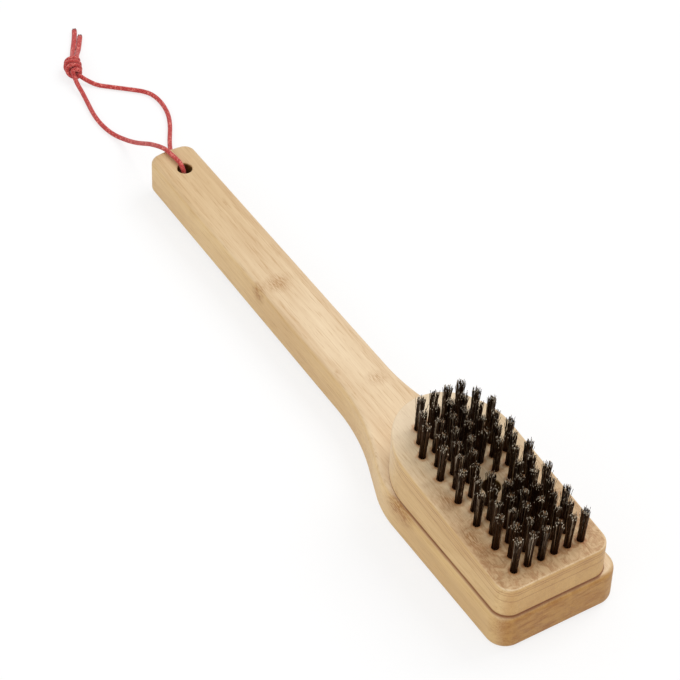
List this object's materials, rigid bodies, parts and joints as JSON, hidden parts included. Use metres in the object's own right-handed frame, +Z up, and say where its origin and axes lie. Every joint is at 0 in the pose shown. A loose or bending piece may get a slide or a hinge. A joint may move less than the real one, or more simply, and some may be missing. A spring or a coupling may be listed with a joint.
{
  "type": "grill brush",
  "caption": "Long flat bamboo brush with a wedge-shaped bristle block at its head, rows of wire tufts, and a knotted hanging cord through the butt of the handle.",
  "frame": {"origin": "on the surface that the brush lies on, under the middle of the wood's box, with the bristles up", "axes": "+X runs from the butt of the handle to the front end of the head, +Y across the brush, +Z up"},
  "size_m": [0.6329, 0.0864, 0.0873],
  "materials": {
    "paddle_wood": "oiled bamboo, fine lengthwise grain, satin",
    "block_wood": "raw sanded bamboo, glued strips, scuffed face",
    "bristle_wire": "dark crimped carbon steel wire",
    "anchor_steel": "flat steel staple strip",
    "screw_steel": "dull steel",
    "cord": "woven round cord, slight sheen"
  },
  "bodies": {
    "root": {"paddle": "paddle_wood", "bristle_block": "block_wood", "tuft_row_01": "bristle_wire", "tuft_row_02": "bristle_wire", "tuft_row_03": "bristle_wire", "tuft_row_04": "bristle_wire", "tuft_row_05": "bristle_wire", "tuft_row_06": "bristle_wire", "tuft_row_07": "bristle_wire", "tuft_row_08": "bristle_wire", "tuft_row_09": "bristle_wire", "tuft_row_10": "bristle_wire", "tuft_row_11": "bristle_wire", "tuft_row_12": "bristle_wire", "tuft_row_13": "bristle_wire", "tuft_anchors": "anchor_steel", "block_screw": "screw_steel", "cord_upper_run": "cord", "cord_lower_run": "cord", "cord_knot": "cord", "cord_tail_long": "cord", "cord_tail_short": "cord"}
  },
  "joints": []
}
